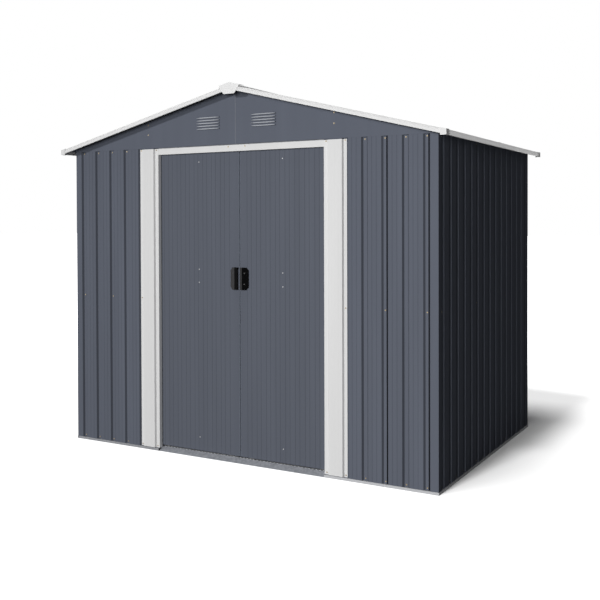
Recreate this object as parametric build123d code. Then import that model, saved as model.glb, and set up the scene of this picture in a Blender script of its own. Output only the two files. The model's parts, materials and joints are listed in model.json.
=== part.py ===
from build123d import *

import math
import os

os.makedirs("parts", exist_ok=True)

# Millimetres. X runs along the front to the right, Y runs back, Z is up.
# The origin is on the ground, under the middle of the roof.

# The shed
WALL_WIDTH = 2130.0
WALL_DEPTH = 1484.0
WALL_TOP = 1600.0
ROOF_PITCH = 14.0
ROOF_SEAT = 22.0
EAVE_OVERHANG = 56.0
END_OVERHANG = 58.0

# Rolled sheet: flat crests with narrow grooves between them
SHEET = 0.5
GROOVE_DEPTH = 8.5
GROOVE_FLOOR = 18.0
GROOVE_SLOPE = 8.0
FIRST_GROOVE = 55.0
FRONT_GROOVES = 21
SIDE_GROOVES = 15
BEAD_WIDTH = 5.0
BEAD_DEPTH = 0.8
BEAD_SHARES = (0.36, 0.7)
LAP_GAP = 0.5
LAP_FOOT = 14.5
LAP_REACH = 7.0
WALL_LAP = 6.0
LINE_WIDTH = 3.0

# The grooves where one sheet laps the next, counted from the wall's left or the roof's front
FRONT_LAP = 2
SIDE_LAPS = (5, 10)
BACK_LAPS = (5, 10, 15)
ROOF_LAPS = (6, 11)

# Base rails, which the wall sheets stand on
RAIL = 1.0
BASE_LIP = 13.0
BASE_PROUD = 2.0
BASE_HEIGHT = 42.0
BASE_FLANGE = 30.0

# Clearance between fixed pieces, and how far a cut runs past what it cuts
FIT = 0.2
CUT = 1.0

# Rails inside the walls
MID_RAIL_Z = 807.0
MID_RAIL_HEIGHT = 40.0
MID_RAIL_DEPTH = 15.0
TOP_RAIL_RISE = 5.0
TOP_RAIL_FLANGE = 68.0

# Doorway
DOORWAY_GROOVES = 5
JAMB_LINES = 3
JAMB_LINE_DEPTH = 0.4
JAMB_GAUGE = 0.8
JAMB_PROUD = 0.6
JAMB_MARGIN = 3.0
JAMB_SLOPE = 6.0
JAMB_INSET = 1.0
JAMB_RETURN = 22.0
JAMB_BOTTOM = 15.0
HEADER_HEIGHT = 31.0
HEADER_DROP = 4.0
HEADER_RETURN = 10.0

# Sliding doors
DOOR_SETBACK = 35.0
DOOR_LAP = 33.0
DOOR_GAP = 5.0
DOOR_BOTTOM = 26.0
DOOR_TOP_DROP = 28.0
DOOR_EDGE = 14.0
DOOR_LINE_DEPTH = 0.8
NARROW_STEP = 24.5
WIDE_STEP = 30.5
LEFT_FIRST_LINE = 61.5
RIGHT_FIRST_LINE = 44.0
DOOR_LINE_MARGIN = 6.0
BRACE_HEIGHT = 40.0
MID_BRACE_HEIGHT = 92.0
BRACE_DEPTH = 14.0
LOW_BRACE_Z = 95.0
MID_BRACE_Z = 930.0
TOP_BRACE_DROP = 80.0

# Door handles
HANDLE_Z = 925.0
HANDLE_HEIGHT = 112.0
HANDLE_WIDTH = 46.0
HANDLE_CHAMFER = 14.0
HANDLE_EDGE = 7.5
HANDLE_NEAR_STAND = 14.0
HANDLE_RIDGE = 15.0
HANDLE_RIDGE_STAND = 18.0
HANDLE_FAR_STAND = 4.0
HANDLE_WALL = 3.0
HANDLE_RIM = 5.0

# Track above the doors, guide rail below them, and the gliders
TRACK_SETBACK = 49.0
TRACK_WIDTH = 30.0
TRACK_HEIGHT = 22.0
TRACK_SLOT = 10.0
TRACK_END = 15.0
GLIDER_LENGTH = 30.0
GLIDER_WIDTH = 26.0
GLIDER_HEIGHT = 10.0
GLIDER_NECK = 6.0
GLIDER_FOOT = 4.0
GLIDER_INSET = 60.0
RUNNING_GAP = 0.3
GUIDE_HEIGHT = 19.0
GUIDE_OVERLAP = 9.0
GUIDE_FLANGE = 30.0
GUIDE_SLOT = 3.0
GUIDE_COVER = 4.0

# Ramp up to the doors
RAMP_HEIGHT = 20.0
RAMP_LANDING = 6.0
RAMP_MARGIN = 5.0

# Gables
GABLE_SEAM = 0.6
SEAM_FLANGE = 12.0
SEAM_MARGIN = 1.0
SEAM_HEM = 3.5
VENT_CENTRE = 165.0
VENT_WIDTH = 138.0
VENT_BOTTOM = 76.0
LOUVRES = 5
LOUVRE_PITCH = 14.0
LOUVRE_HEIGHT = 9.0
LOUVRE_PROUD = 5.0

# Roof
BEAM_X = 540.0
BEAM_HEIGHT = 80.0
BEAM_FLANGE = 30.0
BEAM_GAUGE = 1.2
RIDGE_BEAM_HEIGHT = 70.0
RIDGE_SLOT = 5.0
TRIM = 0.8
TRIM_FLANGE = 30.0
RAKE_FACE = 21.0
RAKE_LINE = 6.0
RAKE_LINE_DEPTH = 1.0
TRIM_HEM = 8.0
TRIM_CHAMFER = 4.0
EAVE_FACE = 21.5
RIDGE_CAP_HALF = 62.0
RIDGE_CAP_RISE = 10.5
CAP_WALL = 1.5
END_CAP_SHOULDER = 15.0
END_CAP_DROP = 57.0
END_CAP_FOOT = 32.0
END_CAP_DEPTH = 40.0
CORNER_CAP_WIDTH = 27.0
CORNER_CAP_DEPTH = 36.0
SLEEVE_LENGTH = 46.0

# Worked out from the sizes above
HALF_WIDTH = WALL_WIDTH / 2
HALF_DEPTH = WALL_DEPTH / 2
FRONT_PITCH = (WALL_WIDTH - 2 * FIRST_GROOVE) / (FRONT_GROOVES - 1)
SIDE_PITCH = (WALL_DEPTH - 2 * FIRST_GROOVE) / (SIDE_GROOVES - 1)
SLOPE = math.tan(math.radians(ROOF_PITCH))
COSINE = math.cos(math.radians(ROOF_PITCH))
APEX = WALL_TOP + ROOF_SEAT + HALF_WIDTH * SLOPE
ROOF_UNDER = (GROOVE_DEPTH + SHEET) / COSINE + FIT
EAVE = HALF_WIDTH + EAVE_OVERHANG
GABLE_END = HALF_DEPTH + END_OVERHANG
INSIDE = GROOVE_DEPTH + SHEET + FIT
HALF_FLOOR = GROOVE_FLOOR / 2
OPENING_EDGE = FIRST_GROOVE + DOORWAY_GROOVES * FRONT_PITCH + HALF_FLOOR + JAMB_MARGIN
HALF_OPENING = HALF_WIDTH - OPENING_EDGE
DOORWAY_STOP = OPENING_EDGE - JAMB_GAUGE - FIT
HEADER_TOP = WALL_TOP - HEADER_DROP
HEADER_LOW = HEADER_TOP - HEADER_HEIGHT
DOOR_TOP = WALL_TOP - DOOR_TOP_DROP
DOOR_EDGE_X = HALF_OPENING + DOOR_LAP
DOOR_BACK = DOOR_SETBACK + DOOR_LINE_DEPTH + SHEET + FIT
TRACK_TOP = WALL_TOP + TOP_RAIL_RISE - RAIL
TRACK_FLOOR = TRACK_TOP - TRACK_HEIGHT + RAIL
TOP_BRACE_Z = WALL_TOP - TOP_BRACE_DROP
GLIDER_PLACES = (DOOR_GAP / 2 + GLIDER_INSET, DOOR_EDGE_X - GLIDER_INSET)

# One frame for each wall: x along the wall, y into the shed, z up
FRONT = Plane(origin=(-HALF_WIDTH, -HALF_DEPTH, 0), x_dir=(1, 0, 0), z_dir=(0, 0, 1))
RIGHT = Plane(origin=(HALF_WIDTH, -HALF_DEPTH, 0), x_dir=(0, 1, 0), z_dir=(0, 0, 1))
BACK = Plane(origin=(HALF_WIDTH, HALF_DEPTH, 0), x_dir=(-1, 0, 0), z_dir=(0, 0, 1))
LEFT = Plane(origin=(-HALF_WIDTH, HALF_DEPTH, 0), x_dir=(0, -1, 0), z_dir=(0, 0, 1))


def crest(x):
    """Height of the roof sheets' crests at x."""
    return APEX - abs(x) * SLOPE


def under(x):
    """Height just below the roof sheets' grooves at x."""
    return crest(x) - ROOF_UNDER


def beside(points, distance):
    """A copy of an open outline, moved to its left by distance."""
    steps = [Vector(*b) - Vector(*a) for a, b in zip(points, points[1:])]
    sides = [Vector(-step.Y, step.X).normalized() for step in steps]
    moved = []
    for index, point in enumerate(points):
        before = sides[max(index - 1, 0)]
        after = sides[min(index, len(sides) - 1)]
        corner = (before + after) * (distance / (1 + before.dot(after)))
        moved.append((point[0] + corner.X, point[1] + corner.Y))
    return moved


def strip(points, gauge):
    """The section of a bent sheet: an outline with its metal on the left."""
    outline = list(points) + beside(points, gauge)[::-1]
    return make_face(Polyline(*outline, close=True))


def upright(points, gauge, bottom, top):
    """A sheet bent in plan, standing from bottom to top."""
    face = Pos(0, 0, bottom) * strip(points, gauge)
    return extrude(face, amount=top - bottom, dir=(0, 0, 1))


def along(points, gauge, start, end):
    """A rail in a wall's frame: a section in y and z, run along x."""
    plane = Plane(origin=(start, 0, 0), x_dir=(0, 1, 0), z_dir=(1, 0, 0))
    return extrude(plane * strip(points, gauge), amount=end - start, dir=(1, 0, 0))


def through(points, gauge, start, end):
    """A rail that runs from front to back: a section in x and z."""
    plane = Plane(origin=(0, start, 0), x_dir=(1, 0, 0), z_dir=(0, -1, 0))
    return extrude(plane * strip(points, gauge), amount=end - start, dir=(0, 1, 0))


def prism(points, start, end):
    """A closed outline in x and z, run from front to back."""
    plane = Plane(origin=(0, start, 0), x_dir=(1, 0, 0), z_dir=(0, -1, 0))
    face = plane * make_face(Polyline(*points, close=True))
    return extrude(face, amount=end - start, dir=(0, 1, 0))


def block(x0, x1, y0, y1, z0, z1):
    """A box between two corners."""
    return Pos((x0 + x1) / 2, (y0 + y1) / 2, (z0 + z1) / 2) * Box(x1 - x0, y1 - y0, z1 - z0)


def place(frame, *solids):
    """The solids of one node, moved from a wall's frame to the shed's."""
    return [frame.location * solid for solid in solids]


def turned(solids):
    """The same solids at the other end of the shed."""
    return [Rot(0, 0, 180) * solid for solid in solids]


def mirrored(solids):
    """The same solids on the other side of the shed."""
    return [mirror(solid, about=Plane.YZ) for solid in solids]


def save(node, solids):
    """Write one node, with each of its solids apart."""
    export_step(Compound(children=list(solids)), f"parts/{node}.step")


# Rolled sheets

def beads(start, end):
    """Two shallow stiffening lines in the crest between start and end."""
    points = []
    for share in BEAD_SHARES:
        middle = start + (end - start) * share
        points += [(middle - BEAD_WIDTH / 2, 0), (middle, BEAD_DEPTH), (middle + BEAD_WIDTH / 2, 0)]
    return points


def rolled_line(middle, face, depth):
    """A fine line rolled into a flat face: a shallow dip across it."""
    half = LINE_WIDTH / 2
    return [(middle - half, face), (middle, face + depth), (middle + half, face)]


def lap_over(centre, side):
    """The end of a sheet that lies over its neighbour in a groove."""
    depth = GROOVE_DEPTH - SHEET - LAP_GAP
    edge = centre + side * HALF_FLOOR
    return [(edge - side * LAP_FOOT, depth), (edge, depth), (edge + side * GROOVE_SLOPE, 0)]


def lap_under(centre, side):
    """The end of a sheet whose groove floor runs under its neighbour."""
    edge = centre + side * HALF_FLOOR
    floor = (centre - side * LAP_REACH, GROOVE_DEPTH)
    return [floor, (edge, GROOVE_DEPTH), (edge + side * GROOVE_SLOPE, 0)]


def groove(centre):
    """A whole groove."""
    edge = HALF_FLOOR + GROOVE_SLOPE
    return [
        (centre - edge, 0),
        (centre - HALF_FLOOR, GROOVE_DEPTH),
        (centre + HALF_FLOOR, GROOVE_DEPTH),
        (centre + edge, 0),
    ]


def rolled(centres, first, last):
    """A sheet's outline from its first groove to its last, ends given as point lists."""
    points = list(first)
    for centre in centres[1:-1]:
        whole = groove(centre)
        points += beads(points[-1][0], whole[0][0]) + whole
    points += beads(points[-1][0], last[0][0]) + list(last)
    return points


def lapped(centres, splits, first, last):
    """Outlines of lapped sheets: each one's far end lies over the next one's groove."""
    outlines = []
    stops = [0, *splits, len(centres) - 1]
    for start, stop in zip(stops, stops[1:]):
        head = first if start == 0 else lap_under(centres[start], 1)
        tail = last if stop == len(centres) - 1 else lap_over(centres[stop], -1)[::-1]
        outlines.append(rolled(centres[start:stop + 1], head, tail))
    return outlines


def wall_sheets(outlines):
    """Wall sheets standing on the base rail's ledge."""
    bottom = BASE_LIP + FIT
    return [upright(points, SHEET, bottom, WALL_TOP + WALL_LAP) for points in outlines]


def corner_panel():
    """A sheet that wraps a corner and lies under the first groove on each side."""
    side = lap_under(FIRST_GROOVE, -1)
    points = [(depth, along_side) for along_side, depth in side] + [(0, 0)] + side[::-1]
    return upright(points, SHEET, BASE_LIP + FIT, WALL_TOP + WALL_LAP)


front_centres = [FIRST_GROOVE + index * FRONT_PITCH for index in range(FRONT_GROOVES)]
side_centres = [FIRST_GROOVE + index * SIDE_PITCH for index in range(SIDE_GROOVES)]


def front_half():
    """The sheets between the left corner panel and the doorway."""
    centres = front_centres[:DOORWAY_GROOVES + 1]
    last = groove(centres[-1])[:2] + [(DOORWAY_STOP, GROOVE_DEPTH)]
    first = lap_over(centres[0], 1)
    near_lap = lap_under(centres[FRONT_LAP], -1)[::-1]
    far_lap = lap_over(centres[FRONT_LAP], 1)
    head = rolled(centres[:FRONT_LAP + 1], first, near_lap)
    tail = rolled(centres[FRONT_LAP:], far_lap, last)
    return wall_sheets([head, tail])


def full_wall(centres, splits):
    """The sheets of a wall with no doorway, between its two corner panels."""
    first = lap_over(centres[0], 1)
    last = lap_over(centres[-1], -1)[::-1]
    return wall_sheets(lapped(centres, splits, first, last))


front_left = place(FRONT, *front_half())
save("front_left_wall", front_left)
save("front_right_wall", mirrored(front_left))
save("back_wall", place(BACK, *full_wall(front_centres, BACK_LAPS)))
save("right_wall", place(RIGHT, *full_wall(side_centres, SIDE_LAPS)))
save("left_wall", place(LEFT, *full_wall(side_centres, SIDE_LAPS)))

corners = {"front_left": FRONT, "front_right": RIGHT, "back_right": BACK, "back_left": LEFT}
for corner, frame in corners.items():
    save(f"{corner}_corner", place(frame, corner_panel()))


# Base rails

def base_rail(length):
    """A base rail with mitred ends: ground flange, lip, ledge and inner flange."""
    points = [
        (INSIDE, BASE_HEIGHT),
        (INSIDE, BASE_LIP),
        (-BASE_PROUD, BASE_LIP),
        (-BASE_PROUD, 0),
        (BASE_FLANGE, 0),
    ]
    rail = along(points, RAIL, -BASE_PROUD, length + BASE_PROUD)
    near = Plane(origin=(FIT, 0, 0), z_dir=(1, -1, 0))
    far = Plane(origin=(length - FIT, 0, 0), z_dir=(-1, -1, 0))
    rail = split(rail, bisect_by=near, keep=Keep.TOP)
    return split(rail, bisect_by=far, keep=Keep.TOP)


doorway = block(DOORWAY_STOP, WALL_WIDTH - DOORWAY_STOP, -WALL_TOP, WALL_TOP, -WALL_TOP, WALL_TOP)
front_rails = (base_rail(WALL_WIDTH) - doorway).solids()
side_rails = place(RIGHT, base_rail(WALL_DEPTH)) + place(LEFT, base_rail(WALL_DEPTH))
save("front_base_rails", place(FRONT, *front_rails))
save("back_base_rail", place(BACK, base_rail(WALL_WIDTH)))
save("side_base_rails", side_rails)

ramp_back = TRACK_SETBACK - GUIDE_SLOT / 2 - GUIDE_COVER - RAMP_MARGIN
ramp_points = [
    (ramp_back, 0),
    (ramp_back, RAMP_HEIGHT),
    (ramp_back - RAMP_LANDING, RAMP_HEIGHT),
    (0, 0),
]
ramp = along(ramp_points, RAIL, DOORWAY_STOP + FIT, WALL_WIDTH - DOORWAY_STOP - FIT)
ramp = ramp & block(0, WALL_WIDTH, -CUT, WALL_DEPTH, 0, WALL_TOP)
save("door_ramp", place(FRONT, ramp))

guide_face = TRACK_SETBACK - RAIL / 2
guide_points = [(guide_face, GUIDE_HEIGHT), (guide_face, 0), (guide_face + GUIDE_FLANGE, 0)]
guide = along(guide_points, RAIL, BASE_FLANGE + FIT, WALL_WIDTH - BASE_FLANGE - FIT)
save("door_guide_rail", place(FRONT, guide))


# Rails inside the walls

def mid_rail(start, end):
    """A channel across the sheets at half height."""
    top = MID_RAIL_Z + MID_RAIL_HEIGHT / 2
    bottom = top - MID_RAIL_HEIGHT
    back = INSIDE + MID_RAIL_DEPTH
    return along([(back, top), (INSIDE, top), (INSIDE, bottom), (back, bottom)], RAIL, start, end)


inner_start = INSIDE + MID_RAIL_DEPTH + FIT
side_mid_rail = mid_rail(inner_start, WALL_DEPTH - inner_start)
mid_rails = place(FRONT, mid_rail(INSIDE, DOORWAY_STOP))
mid_rails += mirrored(mid_rails)
mid_rails += place(BACK, mid_rail(INSIDE, WALL_WIDTH - INSIDE))
mid_rails += place(RIGHT, side_mid_rail) + place(LEFT, side_mid_rail)
save("mid_rails", mid_rails)

rail_top = WALL_TOP + TOP_RAIL_RISE
rail_low = HEADER_LOW + JAMB_GAUGE + FIT
rail_end = INSIDE + RAIL + FIT
end_points = [(TOP_RAIL_FLANGE, rail_top), (INSIDE, rail_top), (INSIDE, rail_low)]
end_rail = along(end_points, RAIL, rail_end, WALL_WIDTH - rail_end)
save("front_top_rail", place(FRONT, end_rail))
save("back_top_rail", place(BACK, end_rail))


def side_under(depth):
    """Height just below the roof sheets, at a depth inside a side wall."""
    return under(HALF_WIDTH - depth)


side_points = [
    (INSIDE + BASE_FLANGE, side_under(INSIDE + BASE_FLANGE)),
    (INSIDE, side_under(INSIDE)),
    (INSIDE, rail_low),
]
side_rail = along(side_points, RAIL, SHEET + FIT, WALL_DEPTH - SHEET - FIT)
save("side_top_rails", place(RIGHT, side_rail) + place(LEFT, side_rail))


# Doorway

jamb_outer = front_centres[DOORWAY_GROOVES - 1] - HALF_FLOOR + JAMB_INSET
jamb_inner = OPENING_EDGE
jamb_low = GROOVE_DEPTH - FIT - JAMB_GAUGE
jamb_high = -JAMB_PROUD - JAMB_GAUGE
rise_start = front_centres[DOORWAY_GROOVES - 1] + HALF_FLOOR - JAMB_GAUGE
rise_end = front_centres[DOORWAY_GROOVES] - HALF_FLOOR + JAMB_GAUGE
raised_start = rise_start + JAMB_SLOPE
raised_end = rise_end - JAMB_SLOPE
line_pitch = (raised_end - raised_start) / (JAMB_LINES + 1)
jamb_lines = []
for index in range(JAMB_LINES):
    jamb_lines += rolled_line(raised_start + (index + 1) * line_pitch, jamb_high, JAMB_LINE_DEPTH)
jamb_points = [
    (jamb_outer, jamb_low),
    (rise_start, jamb_low),
    (raised_start, jamb_high),
    *jamb_lines,
    (raised_end, jamb_high),
    (rise_end, jamb_low),
    (jamb_inner, jamb_low),
    (jamb_inner, jamb_low + JAMB_RETURN),
]
jamb = upright(jamb_points, JAMB_GAUGE, JAMB_BOTTOM, HEADER_TOP)
notch_start = jamb_inner - JAMB_GAUGE - CUT
jamb -= block(notch_start, jamb_inner + CUT, jamb_low + JAMB_GAUGE, WALL_DEPTH, HEADER_LOW, WALL_TOP)
left_jamb = place(FRONT, jamb)
save("left_door_jamb", left_jamb)
save("right_door_jamb", mirrored(left_jamb))

header_face = INSIDE - FIT - JAMB_GAUGE
header_points = [
    (header_face, HEADER_TOP),
    (header_face, HEADER_LOW),
    (header_face + HEADER_RETURN, HEADER_LOW),
]
header_ends = (jamb_inner + FIT, WALL_WIDTH - jamb_inner - FIT)
header = along(header_points, JAMB_GAUGE, *header_ends)
save("door_header", place(FRONT, header))

track_front = TRACK_SETBACK - TRACK_WIDTH / 2
track_back = TRACK_SETBACK + TRACK_WIDTH / 2
track_low = TRACK_TOP - TRACK_HEIGHT
slot_front = TRACK_SETBACK - TRACK_SLOT / 2
slot_back = TRACK_SETBACK + TRACK_SLOT / 2
track_points = [
    (slot_back, track_low),
    (track_back, track_low),
    (track_back, TRACK_TOP),
    (track_front, TRACK_TOP),
    (track_front, track_low),
    (slot_front, track_low),
]
track = along(track_points, RAIL, TRACK_END, WALL_WIDTH - TRACK_END)
save("door_track", place(FRONT, track))


# Sliding doors: the right-hand door in the front wall's frame, x from the middle

def door_sheet(first, steps):
    """A flat sheet with folded edges and fine rolled lines, spaced by the two steps in turn."""
    back = DOOR_SETBACK + DOOR_EDGE
    points = [(DOOR_GAP / 2, back), (DOOR_GAP / 2, DOOR_SETBACK)]
    middle = first
    count = 0
    while middle + DOOR_LINE_MARGIN < DOOR_EDGE_X:
        points += rolled_line(middle, DOOR_SETBACK, DOOR_LINE_DEPTH)
        middle += steps[count % 2]
        count += 1
    points += [(DOOR_EDGE_X, DOOR_SETBACK), (DOOR_EDGE_X, back)]
    return upright(points, SHEET, DOOR_BOTTOM, DOOR_TOP)


def brace(middle, height):
    """A channel across the back of a door."""
    top = middle + height / 2
    bottom = top - height
    back = DOOR_BACK + BRACE_DEPTH
    points = [(back, top), (DOOR_BACK, top), (DOOR_BACK, bottom), (back, bottom)]
    start = DOOR_GAP / 2 + SHEET + FIT
    return along(points, RAIL, start, DOOR_EDGE_X - SHEET - FIT)


def hanger(middle):
    """A nylon glider in the track, on a neck that stands on the top brace."""
    foot = TOP_BRACE_Z + BRACE_HEIGHT / 2
    seat = TRACK_FLOOR + RUNNING_GAP
    x0, x1 = middle - GLIDER_LENGTH / 2, middle + GLIDER_LENGTH / 2
    neck0, neck1 = TRACK_SETBACK - GLIDER_NECK / 2, TRACK_SETBACK + GLIDER_NECK / 2
    body = block(x0, x1, DOOR_BACK + FIT, DOOR_BACK + BRACE_DEPTH, foot, foot + GLIDER_FOOT)
    body += block(x0, x1, neck0, neck1, foot, seat + GLIDER_HEIGHT / 2)
    head0, head1 = TRACK_SETBACK - GLIDER_WIDTH / 2, TRACK_SETBACK + GLIDER_WIDTH / 2
    return body + block(x0, x1, head0, head1, seat, seat + GLIDER_HEIGHT)


def shoe(middle):
    """A nylon shoe under the low brace, which straddles the guide rail."""
    top = LOW_BRACE_Z - BRACE_HEIGHT / 2
    x0, x1 = middle - GLIDER_LENGTH / 2, middle + GLIDER_LENGTH / 2
    half = GUIDE_SLOT / 2 + GUIDE_COVER
    back = TRACK_SETBACK + half
    low = GUIDE_HEIGHT - GUIDE_OVERLAP
    body = block(x0, x1, DOOR_BACK + FIT, back, DOOR_BOTTOM, top)
    body += block(x0, x1, TRACK_SETBACK - half, back, low, DOOR_BOTTOM)
    slot0, slot1 = TRACK_SETBACK - GUIDE_SLOT / 2, TRACK_SETBACK + GUIDE_SLOT / 2
    return body - block(x0 - CUT, x1 + CUT, slot0, slot1, low - CUT, GUIDE_HEIGHT + GUIDE_COVER)


def handle():
    """A moulded pull with two cut corners, hollow behind its ridge for the fingers."""
    low, high = HANDLE_Z - HANDLE_HEIGHT / 2, HANDLE_Z + HANDLE_HEIGHT / 2
    near, far = HANDLE_EDGE, HANDLE_EDGE + HANDLE_WIDTH
    ridge = near + HANDLE_RIDGE
    outline = [
        (near, low),
        (far - HANDLE_CHAMFER, low),
        (far, low + HANDLE_CHAMFER),
        (far, high - HANDLE_CHAMFER),
        (far - HANDLE_CHAMFER, high),
        (near, high),
    ]
    section = [
        (near, DOOR_SETBACK),
        (near, DOOR_SETBACK - HANDLE_NEAR_STAND),
        (ridge, DOOR_SETBACK - HANDLE_RIDGE_STAND),
        (far, DOOR_SETBACK - HANDLE_FAR_STAND),
        (far, DOOR_SETBACK),
    ]
    body = extrude(Pos(0, 0, low) * make_face(Polyline(*section, close=True)), HANDLE_HEIGHT, (0, 0, 1))
    body = body & prism(outline, 0, DOOR_SETBACK)
    hollow_front = DOOR_SETBACK - HANDLE_NEAR_STAND + HANDLE_WALL
    hollow_ends = (low + HANDLE_RIM, high - HANDLE_RIM)
    return body - block(near - CUT, ridge, hollow_front, DOOR_SETBACK + CUT, *hollow_ends)


CENTRE = Plane(origin=(0, -HALF_DEPTH, 0), x_dir=(1, 0, 0), z_dir=(0, 0, 1))
braces = [
    brace(LOW_BRACE_Z, BRACE_HEIGHT),
    brace(MID_BRACE_Z, MID_BRACE_HEIGHT),
    brace(TOP_BRACE_Z, BRACE_HEIGHT),
]
gliders = [make(middle) for make in (hanger, shoe) for middle in GLIDER_PLACES]
door_parts = {"braces": braces, "gliders": gliders, "handle": [handle()]}
save("left_door_sheet", mirrored(place(CENTRE, door_sheet(LEFT_FIRST_LINE, (WIDE_STEP, NARROW_STEP)))))
save("right_door_sheet", place(CENTRE, door_sheet(RIGHT_FIRST_LINE, (NARROW_STEP, WIDE_STEP))))
for name, solids in door_parts.items():
    save(f"right_door_{name}", place(CENTRE, *solids))
    save(f"left_door_{name}", mirrored(place(CENTRE, *solids)))


# Gables

def louvre(left, right, top):
    """A hooded slat pressed out of a gable, open at its lower edge."""
    face = -HALF_DEPTH - SHEET - FIT
    front = face - LOUVRE_PROUD
    low = top - LOUVRE_HEIGHT
    hood = [(face + SHEET, top), (front, low), (front + SHEET, low), (face + SHEET, top - 2 * SHEET)]
    cheek = [(face + SHEET, top), (front, low), (face + SHEET, low)]
    plane = Plane(origin=(left, 0, 0), x_dir=(0, 1, 0), z_dir=(1, 0, 0))
    blade = extrude(plane * make_face(Polyline(*hood, close=True)), right - left, (1, 0, 0))
    for start in (left, right - SHEET):
        end = Plane(origin=(start, 0, 0), x_dir=(0, 1, 0), z_dir=(1, 0, 0))
        blade += extrude(end * make_face(Polyline(*cheek, close=True)), SHEET, (1, 0, 0))
    return blade


def gable_half(vent_middle):
    """The right-hand half of a gable at the front, with a louvred vent."""
    edge = HALF_WIDTH - FIT
    outline = [
        (GABLE_SEAM / 2, WALL_TOP),
        (edge, WALL_TOP),
        (edge, under(edge) - FIT),
        (GABLE_SEAM / 2, under(0) - FIT),
    ]
    face = -HALF_DEPTH - SHEET - FIT
    body = prism(outline, face, face + SHEET)
    flange_low = WALL_TOP + TOP_RAIL_RISE + SEAM_MARGIN
    flange_high = under(0) - RIDGE_BEAM_HEIGHT - SEAM_MARGIN
    flange = [
        (GABLE_SEAM / 2, flange_low),
        (GABLE_SEAM / 2 + SHEET, flange_low),
        (GABLE_SEAM / 2 + SHEET, flange_high),
        (GABLE_SEAM / 2, flange_high),
    ]
    body += prism(flange, face, face + SEAM_FLANGE)
    hem_end = GABLE_SEAM / 2 + SEAM_HEM
    hem = [
        (GABLE_SEAM / 2, WALL_TOP),
        (hem_end, WALL_TOP),
        (hem_end, under(hem_end) - FIT),
        (GABLE_SEAM / 2, under(0) - FIT),
    ]
    body += prism(hem, face - SHEET, face)
    left, right = vent_middle - VENT_WIDTH / 2, vent_middle + VENT_WIDTH / 2
    for index in range(LOUVRES):
        top = WALL_TOP + VENT_BOTTOM + (index + 1) * LOUVRE_PITCH
        slot_low = top - LOUVRE_HEIGHT
        body -= block(left + SHEET, right - SHEET, face - CUT, face + CUT, slot_low, top - SHEET)
        body += louvre(left, right, top)
    return body


right_gable = gable_half(VENT_CENTRE)
save("front_gable_right", [right_gable])
save("front_gable_left", mirrored([right_gable]))
save("back_gable_left", turned([right_gable]))
save("back_gable_right", turned(mirrored([right_gable])))


# Roof frame

beam_start = -HALF_DEPTH + FIT
beam_top = under(BEAM_X)
beam_points = [
    (BEAM_X + BEAM_FLANGE, under(BEAM_X + BEAM_FLANGE)),
    (BEAM_X, beam_top),
    (BEAM_X, beam_top - BEAM_HEIGHT),
    (BEAM_X + BEAM_FLANGE, beam_top - BEAM_HEIGHT),
]
beam = through(beam_points, BEAM_GAUGE, beam_start, -beam_start)
save("side_roof_beams", [beam] + mirrored([beam]))

saddle_points = [(BEAM_FLANGE, under(BEAM_FLANGE)), (0, under(0)), (-BEAM_FLANGE, under(BEAM_FLANGE))]
saddle = through(saddle_points, BEAM_GAUGE, beam_start, -beam_start)
web_low = under(0) - RIDGE_BEAM_HEIGHT
half_web = BEAM_GAUGE / 2
ridge_beam = saddle + block(-half_web, half_web, beam_start, -beam_start, web_low, under(0) - half_web)
save("ridge_beam", [ridge_beam])


# Roof sheets, in a frame on the right-hand slope: x to the back, y off the roof, z down the slope

SLOPE_DOWN = (COSINE, 0, -math.sin(math.radians(ROOF_PITCH)))
RIGHT_SLOPE = Plane(origin=(0, 0, APEX), x_dir=(0, 1, 0), z_dir=SLOPE_DOWN)
roof_start = RIDGE_SLOT / COSINE
roof_end = (EAVE - TRIM_CHAMFER - 2 * TRIM) / COSINE
sheet_end = GABLE_END - TRIM_CHAMFER - 2 * TRIM
roof_centres = [centre - HALF_DEPTH for centre in side_centres]


def down_slope(face, start, end):
    """A section run down the right-hand slope."""
    moved = RIGHT_SLOPE * (Pos(0, 0, start) * face)
    return extrude(moved, amount=end - start, dir=SLOPE_DOWN)


def roof_outline(points):
    """A sheet's outline with its grooves pressed down into the roof."""
    return [(y, -depth) for y, depth in points][::-1]


roof_stops = [-sheet_end] + roof_centres + [sheet_end]
roof_outlines = lapped(roof_stops, ROOF_LAPS, [(-sheet_end, 0)], [(sheet_end, 0)])
roof_faces = [strip(roof_outline(points), SHEET) for points in roof_outlines]
right_roof = [down_slope(face, roof_start, roof_end) for face in roof_faces]
save("right_roof", right_roof)
save("left_roof", mirrored(right_roof))


# Roof trims

flange_top = SHEET + TRIM + FIT
rake_points = [
    (TRIM_FLANGE - GABLE_END, flange_top),
    (TRIM_CHAMFER - GABLE_END, flange_top),
    (-GABLE_END, flange_top - TRIM_CHAMFER),
    (-GABLE_END, LINE_WIDTH / 2 - RAKE_LINE),
    (RAKE_LINE_DEPTH - GABLE_END, -RAKE_LINE),
    (-GABLE_END, -LINE_WIDTH / 2 - RAKE_LINE),
    (-GABLE_END, -RAKE_FACE),
    (TRIM_HEM - GABLE_END, -RAKE_FACE),
]
rake_end = (EAVE - 2 * TRIM - FIT) / COSINE
right_rake = down_slope(strip(rake_points, TRIM), -TRIM_FLANGE, rake_end)
right_rake = split(right_rake, bisect_by=Plane(origin=(FIT, 0, 0), z_dir=(1, 0, 0)), keep=Keep.TOP)
front_rakes = [right_rake] + mirrored([right_rake])
save("front_rake_trims", front_rakes)
save("back_rake_trims", turned(front_rakes))

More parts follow.
